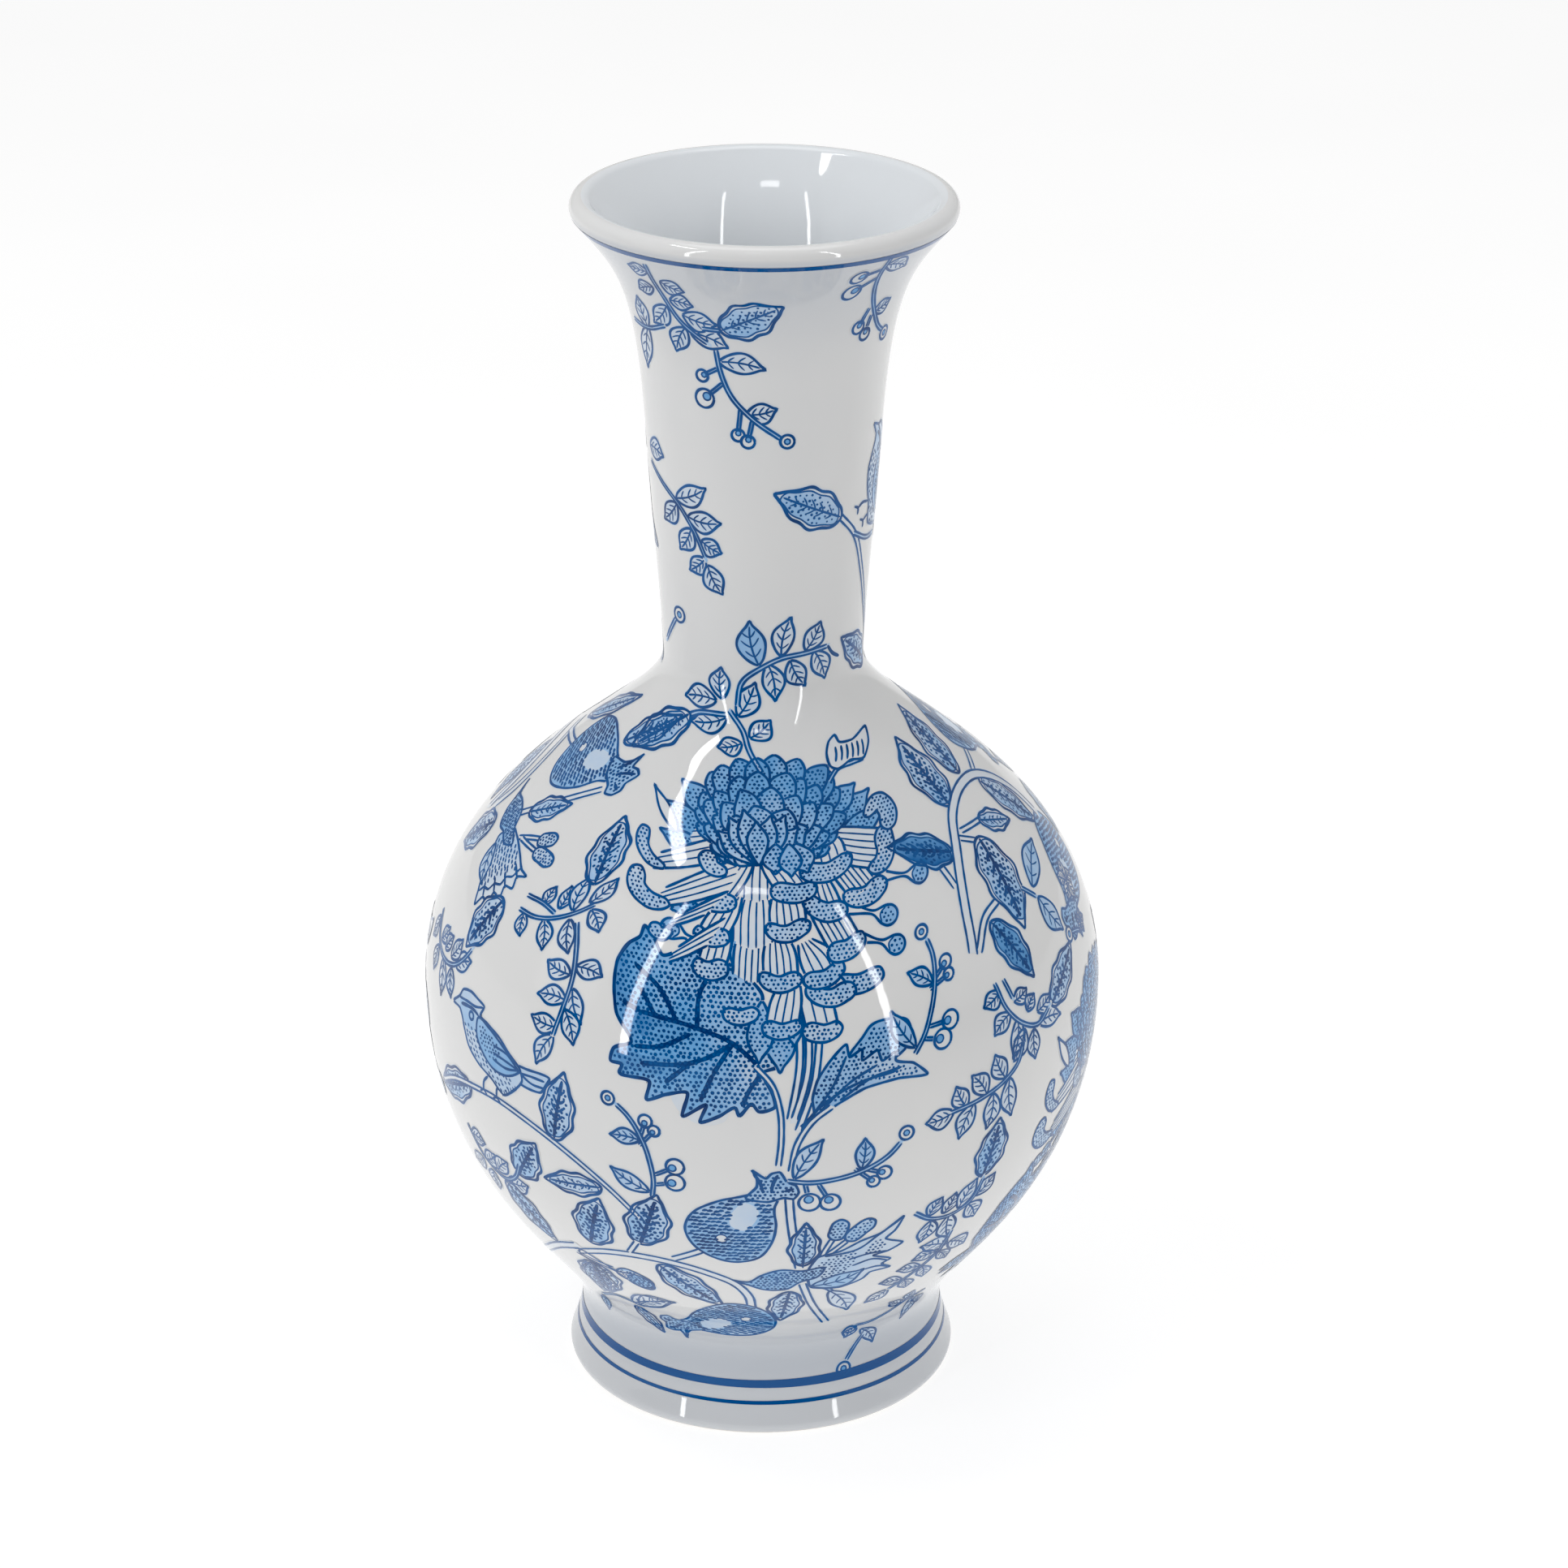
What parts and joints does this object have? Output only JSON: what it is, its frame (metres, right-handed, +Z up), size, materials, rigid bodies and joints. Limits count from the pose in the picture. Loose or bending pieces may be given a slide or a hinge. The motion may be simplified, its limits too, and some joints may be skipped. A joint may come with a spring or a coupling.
{
  "type": "porcelain bottle vase",
  "caption": "Tall porcelain bottle vase: round belly, slim neck, flared mouth with a rolled lip, and a low foot ring; holds cut stems.",
  "frame": {"origin": "centre of the foot, on the plane that the vase stands on", "axes": "+Z up along the axis of revolution; the painted chrysanthemum faces -Y"},
  "size_m": [0.2202, 0.2202, 0.4012],
  "materials": {
    "glazed_porcelain": "clear gloss glaze over white porcelain",
    "cobalt_decoration": "cobalt blue line and wash painted under the clear glaze",
    "bare_foot_rim": "unglazed matt porcelain where the vase stood in the kiln"
  },
  "bodies": {
    "root": {"foot_ring": "glazed_porcelain", "base_floor": "glazed_porcelain", "lower_body": "glazed_porcelain", "shoulder": "glazed_porcelain", "neck": "glazed_porcelain", "flared_mouth": "glazed_porcelain", "lip_roll": "glazed_porcelain"}
  },
  "joints": []
}
